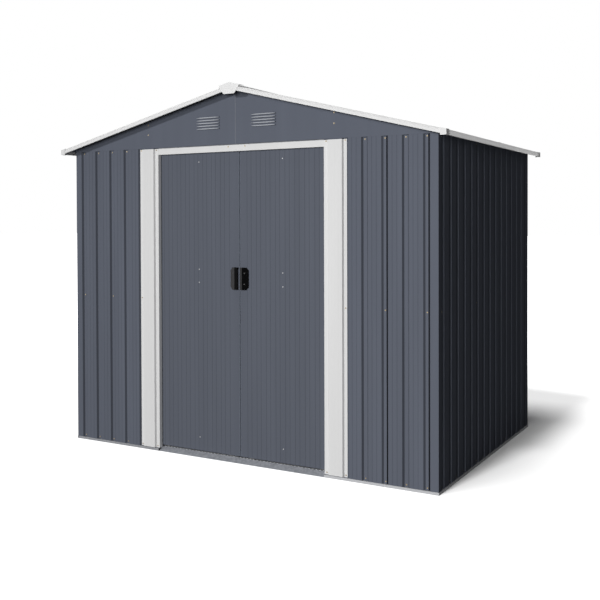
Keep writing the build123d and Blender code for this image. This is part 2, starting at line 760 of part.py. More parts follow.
eave_low = crest(EAVE) - EAVE_FACE
eave_points = [
    (EAVE - TRIM_HEM, eave_low),
    (EAVE, eave_low),
    (EAVE, crest(EAVE) + flange_top - 2 * TRIM_CHAMFER),
    (EAVE - TRIM_CHAMFER / 2, crest(EAVE - TRIM_CHAMFER / 2) + flange_top),
    (EAVE - TRIM_FLANGE, crest(EAVE - TRIM_FLANGE) + flange_top),
]
eave_end = GABLE_END - TRIM_FLANGE - FIT
right_eave = through(eave_points, TRIM, -eave_end, eave_end)
save("eave_trims", [right_eave] + mirrored([right_eave]))

sleeve_points = beside(eave_points, -TRIM - FIT)[1:]
sleeve = through(sleeve_points, TRIM, -SLEEVE_LENGTH / 2, SLEEVE_LENGTH / 2)
save("eave_trim_sleeves", [sleeve] + mirrored([sleeve]))

ridge_low = flange_top + TRIM + FIT
ridge_points = [
    (RIDGE_CAP_HALF, crest(RIDGE_CAP_HALF) + ridge_low),
    (0, APEX + RIDGE_CAP_RISE),
    (-RIDGE_CAP_HALF, crest(RIDGE_CAP_HALF) + ridge_low),
]
ridge_end = GABLE_END - TRIM
save("ridge_cap", [through(ridge_points, TRIM, -ridge_end, ridge_end)])


def end_cap():
    """The moulded plate and hood over the front end of the ridge."""
    top = APEX + RIDGE_CAP_RISE + 2 * FIT + CAP_WALL
    shoulder = (RIDGE_CAP_HALF, top - END_CAP_SHOULDER)
    foot = (END_CAP_FOOT, top - END_CAP_DROP)
    right = [shoulder, foot]
    outline = [(0, top)] + right + [(-x, z) for x, z in right[::-1]]
    front = -GABLE_END - FIT - CAP_WALL
    plate = prism(outline, front, front + CAP_WALL)
    hood = [shoulder, (0, top), (-shoulder[0], shoulder[1])]
    return plate + through(hood, CAP_WALL, front, front + END_CAP_DEPTH)


save("ridge_end_caps", [end_cap()] + turned([end_cap()]))


def corner_cap():
    """The moulded cap over the front right-hand corner of the roof's trims."""
    side = EAVE + FIT
    front = -GABLE_END - FIT
    low = eave_low - FIT - CAP_WALL
    inner = EAVE - CORNER_CAP_WIDTH
    lift = flange_top + 2 * FIT
    outer = [
        (inner, low),
        (side + CAP_WALL, low),
        (side + CAP_WALL, crest(side) + lift + CAP_WALL),
        (inner, crest(inner) + lift + CAP_WALL),
    ]
    hollow = [
        (inner - CUT, low - CUT),
        (side, low - CUT),
        (side, crest(side) + lift),
        (inner - CUT, crest(inner - CUT) + lift),
    ]
    body = prism(outer, front - CAP_WALL, front + CORNER_CAP_DEPTH)
    return body - prism(hollow, front, front + CORNER_CAP_DEPTH + CUT)


front_caps = [corner_cap()] + mirrored([corner_cap()])
save("roof_corner_caps", front_caps + turned(front_caps))
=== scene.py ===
import json
import math

import bpy
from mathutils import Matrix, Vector

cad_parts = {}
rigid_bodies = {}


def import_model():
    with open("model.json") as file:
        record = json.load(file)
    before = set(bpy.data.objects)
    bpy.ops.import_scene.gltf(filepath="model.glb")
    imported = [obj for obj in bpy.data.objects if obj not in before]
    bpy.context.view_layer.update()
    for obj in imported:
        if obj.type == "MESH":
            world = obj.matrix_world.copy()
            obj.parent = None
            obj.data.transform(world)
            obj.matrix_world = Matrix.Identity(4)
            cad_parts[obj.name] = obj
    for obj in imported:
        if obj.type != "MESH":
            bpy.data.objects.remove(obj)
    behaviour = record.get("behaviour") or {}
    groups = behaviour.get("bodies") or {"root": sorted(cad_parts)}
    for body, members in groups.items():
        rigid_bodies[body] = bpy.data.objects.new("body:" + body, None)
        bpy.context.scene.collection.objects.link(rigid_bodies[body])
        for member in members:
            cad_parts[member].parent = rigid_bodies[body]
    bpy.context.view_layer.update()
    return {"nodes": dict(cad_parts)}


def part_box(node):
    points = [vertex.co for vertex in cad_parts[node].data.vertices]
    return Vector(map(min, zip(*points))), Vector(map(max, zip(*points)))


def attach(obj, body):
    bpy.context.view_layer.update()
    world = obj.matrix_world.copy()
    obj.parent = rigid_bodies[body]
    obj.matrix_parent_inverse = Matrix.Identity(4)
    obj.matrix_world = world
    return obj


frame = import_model()
for start_object in [o for o in bpy.data.objects if o.name in ("Cube", "Light", "Camera")]:
    bpy.data.objects.remove(start_object)


# Base rails: hot-dip galvanised steel strip, rolled to a lip, a ledge and a ground flange, mitred
# at the corners and pegged down. The zinc has set in small grains, each a slightly different grey,
# and a painted highlight makes the rail at the right of the front lighter than the others.
def node(tree, kind, inputs=None, **settings):
    """Adds a node. Each of its inputs takes a plain value or another node's output."""
    added = tree.nodes.new(kind)
    for label, setting in settings.items():
        setattr(added, label, setting)
    for label, value in (inputs or {}).items():
        if isinstance(value, bpy.types.NodeSocket):
            tree.links.new(value, added.inputs[label])
        else:
            added.inputs[label].default_value = value
    return added


def maths(tree, operation, *values):
    """Adds one step of arithmetic and gives its result."""
    return node(tree, "ShaderNodeMath", dict(enumerate(values)), operation=operation).outputs[0]


def material(name, colour, roughness, metallic=0.0, specular=0.5):
    made = bpy.data.materials.new(name)
    made.use_nodes = True
    shader = made.node_tree.nodes["Principled BSDF"]
    shader.inputs["Base Color"].default_value = (*colour, 1.0)
    shader.inputs["Roughness"].default_value = roughness
    shader.inputs["Metallic"].default_value = metallic
    shader.inputs["Specular IOR Level"].default_value = specular
    return made, made.node_tree, shader


def object_noise(tree, scale, detail, stretch=(1.0, 1.0, 1.0)):
    place = node(tree, "ShaderNodeTexCoord")
    mapping = node(tree, "ShaderNodeMapping", {"Vector": place.outputs["Object"], "Scale": stretch})
    noise = node(tree, "ShaderNodeTexNoise",
                 {"Vector": mapping.outputs["Vector"], "Scale": scale, "Detail": detail})
    return noise.outputs["Fac"]


def between(tree, factor, low=0.0, high=1.0):
    """Spreads a pattern, which stays mostly between 0.3 and 0.7, from low to high."""
    span = node(tree, "ShaderNodeMapRange",
                {"Value": factor, "From Min": 0.3, "From Max": 0.7, "To Min": low, "To Max": high})
    return span.outputs["Result"]


def shade_variation(tree, shader, factor, colour, contrast):
    """Lets a colour run from a little darker to a little lighter."""
    darker = [c * (1 - contrast) for c in colour]
    lighter = [min(c * (1 + contrast), 1.0) for c in colour]
    mix = node(tree, "ShaderNodeMix",
               {"Factor": factor, "A": (*darker, 1.0), "B": (*lighter, 1.0)}, data_type="RGBA")
    tree.links.new(mix.outputs["Result"], shader.inputs["Base Color"])


def fine_bump(tree, shader, factor, depth, strength):
    bump = node(tree, "ShaderNodeBump", {"Height": factor, "Distance": depth, "Strength": strength})
    tree.links.new(bump.outputs["Normal"], shader.inputs["Normal"])


def overlay(tree, factor, colour):
    """Lays a colour over the varied shade that a finish already has, as far as factor says."""
    base = tree.nodes["Principled BSDF"].inputs["Base Color"]
    under = base.links[0].from_socket
    mix = node(tree, "ShaderNodeMix", {"Factor": factor, "A": under, "B": (*colour, 1.0)},
               data_type="RGBA")
    tree.links.new(mix.outputs["Result"], base)


def upright_bands(finish, colour, middles, half_width):
    """Colours upright bands of a finish, at the given places along x."""
    tree = finish.node_tree
    place = node(tree, "ShaderNodeTexCoord")
    axes = node(tree, "ShaderNodeSeparateXYZ", {"Vector": place.outputs["Object"]})
    for middle in middles:
        overlay(tree, maths(tree, "COMPARE", axes.outputs["X"], middle, half_width), colour)


GRAINS_PER_METRE, GRAIN_CONTRAST = 95.0, 0.16
SMOOTHER_GRAIN, ROUGHER_GRAIN = 0.08, 0.10


def galvanised(name, colour, roughness, metallic):
    made, tree, shader = material(name, colour, roughness, metallic, specular=0.3)
    place = node(tree, "ShaderNodeTexCoord")
    grains = node(tree, "ShaderNodeTexVoronoi",
                  {"Vector": place.outputs["Object"], "Scale": GRAINS_PER_METRE})
    grey = node(tree, "ShaderNodeSeparateColor", {"Color": grains.outputs["Color"]})
    shade_variation(tree, shader, grey.outputs["Red"], colour, GRAIN_CONTRAST)
    sheen = between(tree, grey.outputs["Green"], roughness - SMOOTHER_GRAIN, roughness + ROUGHER_GRAIN)
    tree.links.new(sheen, shader.inputs["Roughness"])
    fine_bump(tree, shader, object_noise(tree, scale=260.0, detail=3.0), depth=0.0003, strength=0.3)
    return made


def finish_nodes(finish, slot_name, *names):
    for name in names:
        piece = frame["nodes"][name]
        for material_slot in piece.material_slots:
            material_slot.material = finish


ZINC, ZINC_HIGHLIGHT = (0.22, 0.225, 0.24), (0.41, 0.415, 0.43)
RAIL_HIGHLIGHT_MIDDLE, RAIL_HIGHLIGHT_HALF = 0.815, 0.36
bright_zinc = galvanised("bright_zinc", ZINC, roughness=0.50, metallic=0.15)
finish_nodes(bright_zinc, "galvanised_steel", "back_base_rail", "side_base_rails")
highlit_rail_zinc = galvanised("highlit_rail_zinc", ZINC, roughness=0.50, metallic=0.15)
# A painted highlight: a lighter band of zinc over the right part of the front rails.
upright_bands(highlit_rail_zinc, ZINC_HIGHLIGHT, middles=(RAIL_HIGHLIGHT_MIDDLE,), half_width=RAIL_HIGHLIGHT_HALF)
finish_nodes(highlit_rail_zinc, "galvanised_steel", "front_base_rails")


# Threshold: a folded ramp of duller galvanised sheet, screwed down between the front rails, with
# the guide rail that the doors' shoes straddle behind it. A row of small dimples pressed along
# its upper edge stiffens it, and their much lighter zinc is a painted highlight along that edge.
ramp_zinc = galvanised("ramp_zinc", (0.245, 0.255, 0.280), roughness=0.55, metallic=0.10)
finish_nodes(ramp_zinc, "galvanised_steel", "door_ramp")
finish_nodes(bright_zinc, "galvanised_steel", "door_guide_rail")
DIMPLE_SIZES = {"Dimple pitch": 0.0195, "Dimple radius": 0.0045, "Dimple height": 0.0012}
DIMPLE_SIDES, DIMPLE_TOP_SHARE = 10, 0.45
DIMPLE_END_MARGIN, DIMPLE_BACK_MARGIN = 0.020, 0.0035


def new_tree(name, seeds, sizes, product):
    """Starts a tree that takes seed geometry and named sizes, and gives finished geometry."""
    tree = bpy.data.node_groups.new(name, "GeometryNodeTree")
    face = tree.interface
    face.new_socket(seeds, in_out="INPUT", socket_type="NodeSocketGeometry")
    for label, size in sizes.items():
        face.new_socket(label, in_out="INPUT", socket_type="NodeSocketFloat").default_value = size
    face.new_socket(product, in_out="OUTPUT", socket_type="NodeSocketGeometry")
    return tree, node(tree, "NodeGroupInput").outputs


def finish_copies(tree, points, shape, finish, turned=(0.0, 0.0, 0.0)):
    """Ends a tree: a copy of a shape on each point, made real and given its finish."""
    placed = node(tree, "GeometryNodeInstanceOnPoints",
                  {"Points": points, "Instance": shape, "Rotation": turned})
    real = node(tree, "GeometryNodeRealizeInstances", {"Geometry": placed.outputs["Instances"]})
    painted = node(tree, "GeometryNodeSetMaterial",
                   {"Geometry": real.outputs["Geometry"], "Material": finish})
    tree.links.new(painted.outputs["Geometry"], node(tree, "NodeGroupOutput").inputs[0])


def dimple_tree(finish):
    tree, given = new_tree("ramp_dimples", "Row", DIMPLE_SIZES, "Dimples")
    row = node(tree, "GeometryNodeMeshToCurve", {"Mesh": given["Row"]})
    spaced = node(tree, "GeometryNodeCurveToPoints",
                  {"Curve": row.outputs["Curve"], "Length": given["Dimple pitch"]}, mode="LENGTH")
    dome = node(tree, "GeometryNodeMeshCone",
                {"Vertices": DIMPLE_SIDES,
                 "Radius Bottom": given["Dimple radius"],
                 "Radius Top": maths(tree, "MULTIPLY", given["Dimple radius"], DIMPLE_TOP_SHARE),
                 "Depth": given["Dimple height"]})
    finish_copies(tree, spaced.outputs["Points"], dome.outputs["Mesh"], finish)
    return tree


def grown(name, seeds, tree, sizes, body):
    """Runs a tree on a seed mesh and keeps the result as one plain mesh that rides on a body."""
    holder = bpy.data.objects.new(name + "_seeds", seeds)
    bpy.context.collection.objects.link(holder)
    modifier = holder.modifiers.new(name, "NODES")
    modifier.node_group = tree
    for item in tree.interface.items_tree:
        if item.in_out == "INPUT" and item.name in sizes:
            modifier[item.identifier] = sizes[item.name]
    seen = holder.evaluated_get(bpy.context.evaluated_depsgraph_get())
    mesh = bpy.data.meshes.new_from_object(seen)
    bpy.data.objects.remove(holder)
    piece = bpy.data.objects.new(name, mesh)
    bpy.context.collection.objects.link(piece)
    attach(piece, body)


ramp_low, ramp_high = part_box("door_ramp")
row_ends = (ramp_low[0] + DIMPLE_END_MARGIN, ramp_high[0] - DIMPLE_END_MARGIN)
dimple_row = bpy.data.meshes.new("dimple_row")
dimple_row.from_pydata([(x, ramp_high[1] - DIMPLE_BACK_MARGIN, ramp_high[2]) for x in row_ends],
                       [(0, 1)], [])
# Painted highlight: the dimples are much lighter than the ramp's own zinc.
dimple_highlight_metal = galvanised("dimple_highlight_metal", (0.66, 0.67, 0.69), roughness=0.42, metallic=0.15)
grown("ramp_dimples", dimple_row, dimple_tree(dimple_highlight_metal), DIMPLE_SIZES, "shell")


# Wall sheets and corner panels: thin steel, rolled with grooves and coil coated in satin
# anthracite, with faint streaks the way it was rolled. Painted shade darkens the grooves' slopes,
# except on the right wall, and a painted shadow darkens the free edges of the laps right of the
# doors.
STREAKS_PER_METRE, STREAK_STRETCH = 14.0, (1.0, 1.0, 0.06)
PEEL_PER_METRE, PEEL_SHEEN = 420.0, 0.05


def coated_steel(name, colour, roughness=0.55, metallic=0.0, specular=0.0, streak_contrast=0.05):
    made, tree, shader = material(name, colour, roughness, metallic, specular)
    streaks = object_noise(tree, STREAKS_PER_METRE, detail=3.0, stretch=STREAK_STRETCH)
    shade_variation(tree, shader, between(tree, streaks), colour, streak_contrast)
    orange_peel = object_noise(tree, PEEL_PER_METRE, detail=2.0)
    sheen = between(tree, orange_peel, roughness - PEEL_SHEEN, roughness + PEEL_SHEEN)
    tree.links.new(sheen, shader.inputs["Roughness"])
    fine_bump(tree, shader, orange_peel, depth=0.0002, strength=0.25)
    return made


def painted_fold_shade(finish, share):
    """Paints shade onto a coat, on slopes that face part way along y. With y the normal's part that
    way, 4 y y (1 - y y) is 1 at 45 degrees, and 0 where a face looks along y or across it."""
    tree = finish.node_tree
    surface = node(tree, "ShaderNodeNewGeometry")
    axes = node(tree, "ShaderNodeSeparateXYZ", {"Vector": surface.outputs["True Normal"]})
    squared = maths(tree, "MULTIPLY", axes.outputs["Y"], axes.outputs["Y"])
    rest = maths(tree, "MULTIPLY_ADD", squared, -4.0 * share, 4.0 * share)
    overlay(tree, maths(tree, "MULTIPLY", squared, rest), (0.0, 0.0, 0.0))


wall_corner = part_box("back_right_corner")[1]
HALF_WIDTH, HALF_DEPTH = wall_corner.x, wall_corner.y
FIRST_GROOVE, GROOVE_DEPTH, LAP_LIFT = 0.055, 0.0085, 0.001
FRONT_GROOVES, SIDE_GROOVES = 21, 15
FRONT_LAPS, SIDE_LAPS, BACK_LAPS = (0, 2), (0, 5, 10, 14), (0, 5, 10, 15, 20)
FRONT_PITCH = 2 * (HALF_WIDTH - FIRST_GROOVE) / (FRONT_GROOVES - 1)
SIDE_PITCH = 2 * (HALF_DEPTH - FIRST_GROOVE) / (SIDE_GROOVES - 1)
LAP_EDGE, LAP_SHADOW_HALF = 0.0085, 0.0035


def groove_x(index):
    return HALF_WIDTH - FIRST_GROOVE - index * FRONT_PITCH


def groove_y(index):
    return -HALF_DEPTH + FIRST_GROOVE + index * SIDE_PITCH


# The share is how far painted shade darkens the grooves' slopes at 45 degrees.
ANTHRACITE, FOLD_SHADE_SHARE = (0.108, 0.119, 0.148), 0.27
shaded_coat = coated_steel("shaded_coat", ANTHRACITE)
finish_nodes(shaded_coat, "anthracite_sheet", "right_wall")
anthracite_coat = coated_steel("anthracite_coat", ANTHRACITE)
painted_fold_shade(anthracite_coat, FOLD_SHADE_SHARE)
finish_nodes(anthracite_coat, "anthracite_sheet",
             "front_left_wall", "left_wall", "back_wall",
             "front_left_corner", "back_left_corner", "back_right_corner")
lapped_coat = coated_steel("lapped_coat", ANTHRACITE)
painted_fold_shade(lapped_coat, FOLD_SHADE_SHARE)
# A painted shadow: near-black bands in the grooves where the free edges of the laps lie.
upright_bands(lapped_coat, colour=(0.006, 0.007, 0.009),
              middles=[groove_x(index) + LAP_EDGE for index in FRONT_LAPS], half_width=LAP_SHADOW_HALF)
finish_nodes(lapped_coat, "anthracite_sheet", "front_right_wall", "front_right_corner")


# Wall screws: small pan heads in yellow zinc, driven through the floor of each groove into the
# rails behind. They sit in three rows at the laps and in two rows between them.
def speckled(name, colour, roughness, contrast, patch_scale, grain_scale, grain_detail,
             depth, strength, metallic=0.0, specular=0.5):
    """The finish of a small part: faint patches of shade, and a fine grain to the touch."""
    made, tree, shader = material(name, colour, roughness, metallic, specular)
    patches = object_noise(tree, patch_scale, detail=2.0)
    shade_variation(tree, shader, between(tree, patches), colour, contrast)
    fine_bump(tree, shader, object_noise(tree, grain_scale, grain_detail), depth, strength)
    return made


yellow_zinc = speckled("yellow_zinc", (0.31, 0.245, 0.15), 0.45, contrast=0.12, patch_scale=60.0,
                       grain_scale=900.0, grain_detail=1.0, depth=0.0002, strength=0.2, metallic=0.30)
HEAD_RADIUS, HEAD_HEIGHT = 0.0035, 0.0026
SCREW_SIZES = {"Head radius": HEAD_RADIUS, "Head height": HEAD_HEIGHT, "Flange height": 0.0006}
HEAD_SIDES, HEAD_FOOT_SHARE, HEAD_TOP_SHARE = 12, 0.80, 0.45


def screw_tree(name, finish):
    tree, given = new_tree(name, "Points", SCREW_SIZES, "Screws")
    radius = given["Head radius"]
    flange = node(tree, "GeometryNodeMeshCylinder",
                  {"Vertices": HEAD_SIDES, "Radius": radius, "Depth": given["Flange height"]})
    head = node(tree, "GeometryNodeMeshCone",
                {"Vertices": HEAD_SIDES,
                 "Radius Bottom": maths(tree, "MULTIPLY", radius, HEAD_FOOT_SHARE),
                 "Radius Top": maths(tree, "MULTIPLY", radius, HEAD_TOP_SHARE),
                 "Depth": given["Head height"]})
    whole = node(tree, "GeometryNodeJoinGeometry", {"Geometry": flange.outputs["Mesh"]})
    tree.links.new(head.outputs["Mesh"], whole.inputs["Geometry"])
    facing = node(tree, "GeometryNodeInputNamedAttribute", {"Name": "facing"}, data_type="FLOAT_VECTOR")
    turn = node(tree, "FunctionNodeAlignRotationToVector",
                {"Vector": facing.outputs["Attribute"]}, axis="Z")
    points = node(tree, "GeometryNodeMeshToPoints", {"Mesh": given["Points"]})
    finish_copies(tree, points.outputs["Points"], whole.outputs["Geometry"], finish,
                  turn.outputs["Rotation"])
    return tree


def screws(name, tree, places, body, radius=HEAD_RADIUS, height=HEAD_HEIGHT):
    """places: (point, way out of the sheet) pairs, in metres."""
    seeds = bpy.data.meshes.new(name + "_places")
    seeds.from_pydata([point for point, way in places], [], [])
    facing = seeds.attributes.new("facing", "FLOAT_VECTOR", "POINT")
    for index, (point, way) in enumerate(places):
        facing.data[index].vector = way
    grown(name, seeds, tree, {"Head radius": radius, "Head height": height}, body)


rail_low, rail_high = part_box("mid_rails")
TOP_ROW, MIDDLE_ROW, BOTTOM_ROW = 1.590, (rail_low.z + rail_high.z) / 2, 0.024
ALL_ROWS, END_ROWS = (TOP_ROW, MIDDLE_ROW, BOTTOM_ROW), (TOP_ROW, BOTTOM_ROW)
# A head's middle lies this far out of the face that it holds down.
SHEET_LIFT = 0.0003


def wall_rows(centre, face, out, lapped, along_x):
    """The screws in one groove, whose floor lies inward of the wall's face, or less at a lap."""
    depth = GROOVE_DEPTH - (LAP_LIFT if lapped else 0.0) - SHEET_LIFT
    across = out * (face - depth)
    rows = ALL_ROWS if lapped else END_ROWS
    if along_x:
        return [((centre, across, z), (0, out, 0)) for z in rows]
    return [((across, centre, z), (out, 0, 0)) for z in rows]


FRONT_SHEET_GROOVES = 4
front_places = []
for side in (-1, 1):
    for index in range(FRONT_SHEET_GROOVES):
        front_places += wall_rows(side * groove_x(index), HALF_DEPTH, -1, index in FRONT_LAPS, True)
other_places = []
for index in range(SIDE_GROOVES):
    for side in (-1, 1):
        other_places += wall_rows(groove_y(index), HALF_WIDTH, side, index in SIDE_LAPS, False)
for index in range(FRONT_GROOVES):
    other_places += wall_rows(groove_x(index), HALF_DEPTH, 1, index in BACK_LAPS, True)
wall_screw = screw_tree("wall_screw", yellow_zinc)
screws("front_wall_screws", wall_screw, front_places, "shell")
screws("side_and_back_wall_screws", wall_screw, other_places, "shell")


# Rails inside the walls: plain galvanised channels at half height and angles along the top, which
# the sheets are screwed to.
finish_nodes(bright_zinc, "galvanised_steel",
             "mid_rails", "front_top_rail", "back_top_rail", "side_top_rails")


# Door frame: two jambs and a header of folded steel strip in white coat. The jambs' outer flanges
# lie in the sheets' grooves and are screwed through them. The track is bare galvanised strip.
WHITE = (0.67, 0.67, 0.67)
white_coat = coated_steel("white_coat", WHITE, roughness=0.45, streak_contrast=0.02)
finish_nodes(white_coat, "white_trim", "left_door_jamb", "right_door_jamb", "door_header")
finish_nodes(bright_zinc, "galvanised_steel", "door_track")
JAMB_FLOOR, HEADER_FLOOR = 0.0075, 0.0082
HEADER_SCREW_X, HEADER_ROW = 0.050, 1.588
JAMB_GROOVES = ((4, ALL_ROWS), (5, END_ROWS))
frame_places = []
for side in (-1, 1):
    for index, rows in JAMB_GROOVES:
        frame_places += [((side * groove_x(index), JAMB_FLOOR - HALF_DEPTH - SHEET_LIFT, z), (0, -1, 0))
                         for z in rows]
    frame_places.append(((side * HEADER_SCREW_X, HEADER_FLOOR - HALF_DEPTH - SHEET_LIFT, HEADER_ROW),
                         (0, -1, 0)))
screws("door_frame_screws", wall_screw, frame_places, "shell", height=0.0024)


# Gable halves: flat sheet in the same anthracite coat. They meet under the ridge on a folded seam,
# are screwed to the top rail and the side beams, and each has five louvres pressed out of it. A
# painted highlight lightens the seam.
SEAM_HIGHLIGHT_HALF = 0.0025
gable_coat = coated_steel("gable_coat", ANTHRACITE, streak_contrast=0.03)
# A painted highlight: a lighter band down the fold of the seam.
upright_bands(gable_coat, colour=(0.16, 0.17, 0.20), middles=(0.0,), half_width=SEAM_HIGHLIGHT_HALF)
finish_nodes(gable_coat, "anthracite_sheet",
             "front_gable_left", "front_gable_right", "back_gable_left", "back_gable_right")
GABLE_SCREW_X, GABLE_ROWS = 0.552, (1.722, 1.671)
# The gables' face stands this far out of the walls' face below.
GABLE_FACE = 0.0007
gable_places = [((side * GABLE_SCREW_X, end * (HALF_DEPTH + GABLE_FACE + SHEET_LIFT), z), (0, end, 0))
                for end in (-1, 1) for side in (-1, 1) for z in GABLE_ROWS]
screws("gable_screws", wall_screw, gable_places, "shell")


# Louvre lips: the lower edge of each louvre is rolled over, and its lighter grey is a painted
# highlight along the roll. One lip is drawn as a flattened bar that thins towards its ends, and a
# copy is set on every louvre.
louvre_highlight = coated_steel("louvre_highlight", (0.31, 0.325, 0.36), roughness=0.42, specular=0.15,
                           streak_contrast=0.06)
LIP_SIZES = {"Lip length": 0.139, "Lip height": 0.0066, "Lip depth": 0.0024}
LIP_STEPS, LIP_SIDES = 15, 8
LIP_END_SHARE, LIP_TAPER = 0.15, 5.0


def lip_tree(finish):
    tree, given = new_tree("louvre_lips", "Points", LIP_SIZES, "Lips")
    left, right = (node(tree, "ShaderNodeCombineXYZ",
                        {"X": maths(tree, "MULTIPLY", given["Lip length"], share)}).outputs["Vector"]
                   for share in (-0.5, 0.5))
    line = node(tree, "GeometryNodeCurvePrimitiveLine", {"Start": left, "End": right})
    spaced = node(tree, "GeometryNodeResampleCurve",
                  {"Curve": line.outputs["Curve"], "Count": LIP_STEPS})
    along = node(tree, "GeometryNodeSplineParameter").outputs["Factor"]
    from_middle = maths(tree, "ABSOLUTE", maths(tree, "MULTIPLY_ADD", along, 2.0, -1.0))
    towards_end = maths(tree, "POWER", from_middle, LIP_TAPER)
    thickness = maths(tree, "MULTIPLY_ADD", towards_end, LIP_END_SHARE - 1.0, 1.0)
    rim = node(tree, "GeometryNodeCurvePrimitiveCircle", {"Resolution": LIP_SIDES, "Radius": 0.5})
    sweep = node(tree, "GeometryNodeCurveToMesh",
                 {"Curve": spaced.outputs["Curve"], "Profile Curve": rim.outputs["Curve"],
                  "Scale": thickness, "Fill Caps": True})
    flatness = node(tree, "ShaderNodeCombineXYZ",
                    {"X": 1.0, "Y": given["Lip depth"], "Z": given["Lip height"]})
    flat = node(tree, "GeometryNodeTransform",
                {"Geometry": sweep.outputs["Mesh"], "Scale": flatness.outputs["Vector"]})
    points = node(tree, "GeometryNodeMeshToPoints", {"Mesh": given["Points"]})
    finish_copies(tree, points.outputs["Points"], flat.outputs["Geometry"], finish)
    return tree


VENT_X, LOUVRES, LOUVRE_PITCH = 0.165, 5, 0.014
LOUVRE_FOOT, LIP_RISE, LOUVRE_FRONT = 1.681, 0.0025, 0.0062
lip_places = [(side * VENT_X, end * (HALF_DEPTH + LOUVRE_FRONT),
               LOUVRE_FOOT + LIP_RISE + index * LOUVRE_PITCH)
              for end in (-1, 1) for side in (-1, 1) for index in range(LOUVRES)]
lip_seeds = bpy.data.meshes.new("lip_places")
lip_seeds.from_pydata(lip_places, [], [])
grown("louvre_lips", lip_seeds, lip_tree(louvre_highlight), LIP_SIZES, "shell")


# Roof frame: a galvanised ridge beam and two side beams of folded strip, from gable to gable,
# which are seen only from inside.
finish_nodes(bright_zinc, "galvanised_steel", "ridge_beam", "side_roof_beams")


# Roof sheets: the same rolled sheet as the walls, screwed down through the floors of the grooves
# into the ridge beam, the side beams and the top rails.
# Their coat carries the same painted shade on the slopes of the grooves.
finish_nodes(anthracite_coat, "anthracite_sheet", "left_roof", "right_roof")
WALL_TOP, ROOF_SEAT, ROOF_PITCH = 1.600, 0.022, math.radians(14.0)
APEX = WALL_TOP + ROOF_SEAT + HALF_WIDTH * math.tan(ROOF_PITCH)
ROOF_ROWS, ROOF_LAPS, SHEET = (0.085, 0.552, 1.055), (5, 10), 0.0005
roof_places = []
for side in (-1, 1):
    out = Vector((side * math.sin(ROOF_PITCH), 0.0, math.cos(ROOF_PITCH)))
    for x in ROOF_ROWS:
        for index in range(SIDE_GROOVES):
            drop = GROOVE_DEPTH - (LAP_LIFT if index in ROOF_LAPS else 0.0) - SHEET - SHEET_LIFT
            crest = Vector((side * x, groove_y(index), APEX - x * math.tan(ROOF_PITCH)))
            roof_places.append((tuple(crest - out * drop), tuple(out)))
screws("roof_screws", wall_screw, roof_places, "shell",
       radius=0.0042, height=0.0028)


# Roof trims: folded steel strip in white coat over the cut edges of the roof sheets, with a sleeve
# over each eave's joint and a cap along the ridge. The eaves' coat is duller, and a bit metallic.
finish_nodes(white_coat, "white_trim",
             "front_rake_trims", "back_rake_trims", "ridge_cap")
eave_coat = coated_steel("eave_coat", WHITE, roughness=0.60, metallic=0.35, specular=0.2,
                         streak_contrast=0.02)
finish_nodes(eave_coat, "white_trim", "eave_trims", "eave_trim_sleeves")


# Ridge ends and corner caps: moulded white plastic with a fine grain, clipped over the open ends
# of the trims at both ends of the ridge and at the roof's four corners.
white_plastic = speckled("white_plastic", WHITE, 0.50, contrast=0.02, patch_scale=30.0,
                         grain_scale=700.0, grain_detail=2.0, depth=0.0002, strength=0.3, specular=0.1)
finish_nodes(white_plastic, "white_moulding", "ridge_end_caps", "roof_corner_caps")


# Door sheets: the same steel, rolled with fine lines and folded round at the edges. Painted shade
# darkens the slopes of the fine lines, and a painted highlight lightens the edges where the doors
# meet. Each is riveted to three galvanised braces behind it, and the rivets' white heads show on
# its face.
MEETING_HIGHLIGHT_HALF = 0.00302
door_coat = coated_steel("door_coat", (0.104, 0.114, 0.140), streak_contrast=0.04)
# Painted shade on the fine lines' slopes, and a painted highlight down the meeting edges.
painted_fold_shade(door_coat, share=0.22)
upright_bands(door_coat, colour=(0.26, 0.29, 0.345), middles=(0.0,), half_width=MEETING_HIGHLIGHT_HALF)
finish_nodes(door_coat, "anthracite_sheet", "left_door_sheet", "right_door_sheet")
finish_nodes(bright_zinc, "galvanised_steel", "left_door_braces", "right_door_braces")
white_head = speckled("white_head", (0.55, 0.55, 0.56), 0.45, contrast=0.05, patch_scale=80.0,
                      grain_scale=900.0, grain_detail=1.0, depth=0.0001, strength=0.2)
door_rivet = screw_tree("door_rivet", white_head)
DOOR_FACE, RIVET_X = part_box("left_door_sheet")[0].y, 0.2505
for side, body, rows in ((1, "right_door", (0.095, 0.892, 0.960, 1.520)),
                         (-1, "left_door", (0.095, 0.898, 0.966, 1.520))):
    screws(body + "_rivets", door_rivet, [((side * RIVET_X, DOOR_FACE, z), (0, -1, 0)) for z in rows],
           body, radius=0.0028, height=0.0018)


# Door handles: moulded black pulls with a ridge near the doors' meeting edge, hollow behind it for
# the fingers, each held by two dark screws through its slope.
BLACK = (0.045, 0.045, 0.047)
black_plastic = speckled("black_plastic", BLACK, 0.6, contrast=0.15, patch_scale=900.0,
                         grain_scale=900.0, grain_detail=2.0, depth=0.0003, strength=0.4, specular=0.0)
finish_nodes(black_plastic, "black_plastic", "left_door_handle", "right_door_handle")
dark_steel = speckled("dark_steel", (0.022, 0.022, 0.023), 0.5, contrast=0.1, patch_scale=90.0,
                      grain_scale=900.0, grain_detail=1.0, depth=0.0001, strength=0.2)
handle_screw = screw_tree("handle_screw", dark_steel)
HANDLE_SCREW_X, HANDLE_SCREW_STAND, HANDLE_ROWS = 0.034, 0.0125, (0.898, 0.953)
HANDLE_OUT = (0.412, -0.911)
for side, body in ((-1, "left_door"), (1, "right_door")):
    screws(body + "_handle_screws", handle_screw,
           [((side * HANDLE_SCREW_X, DOOR_FACE - HANDLE_SCREW_STAND, z),
             (side * HANDLE_OUT[0], HANDLE_OUT[1], 0)) for z in HANDLE_ROWS],
           body, radius=0.0032, height=0.0018)


